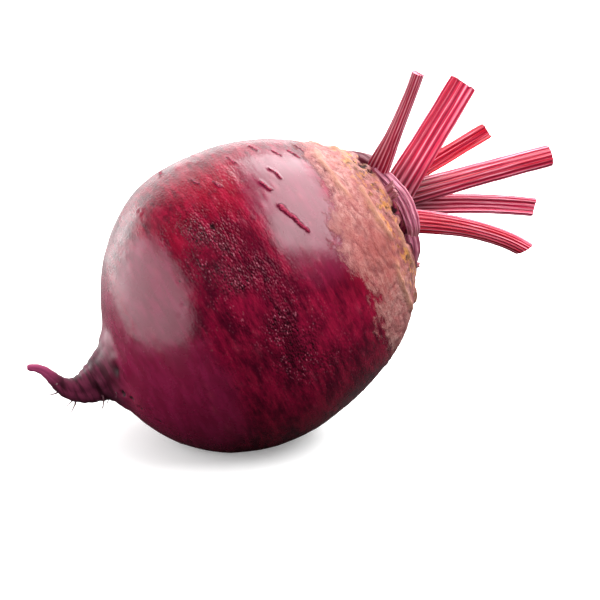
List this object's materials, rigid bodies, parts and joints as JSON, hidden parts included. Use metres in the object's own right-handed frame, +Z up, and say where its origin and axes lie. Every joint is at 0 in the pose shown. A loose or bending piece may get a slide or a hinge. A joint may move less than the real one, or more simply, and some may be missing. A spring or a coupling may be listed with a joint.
{
  "type": "beetroot",
  "caption": "Whole beetroot lying on its belly: a round wine-red root with a corky crown, a thin curled tap root and short-cut ribbed leaf stalks.",
  "frame": {"origin": "middle of the underside of the box round the whole beetroot, on the table it lies on", "axes": "+Z up; +X level, towards the crown and its stalks; the root's own axis rises 26 degrees towards +X"},
  "size_m": [0.1622, 0.0844, 0.1071],
  "materials": {
    "skin": "satin",
    "leaf_stalk": "satin",
    "dry_leaf_base": "matte"
  },
  "bodies": {
    "root": {"root": "skin", "leaf_stalk_top": "leaf_stalk", "leaf_stalk_broad": "leaf_stalk", "leaf_stalk_back": "leaf_stalk", "leaf_stalk_long": "leaf_stalk", "leaf_stalk_low": "leaf_stalk", "leaf_stalk_front": "leaf_stalk", "leaf_stub_1": "dry_leaf_base", "leaf_stub_2": "dry_leaf_base", "leaf_stub_3": "dry_leaf_base", "leaf_stub_4": "dry_leaf_base", "leaf_stub_5": "dry_leaf_base", "leaf_stub_6": "dry_leaf_base", "leaf_stub_7": "dry_leaf_base"}
  },
  "joints": []
}
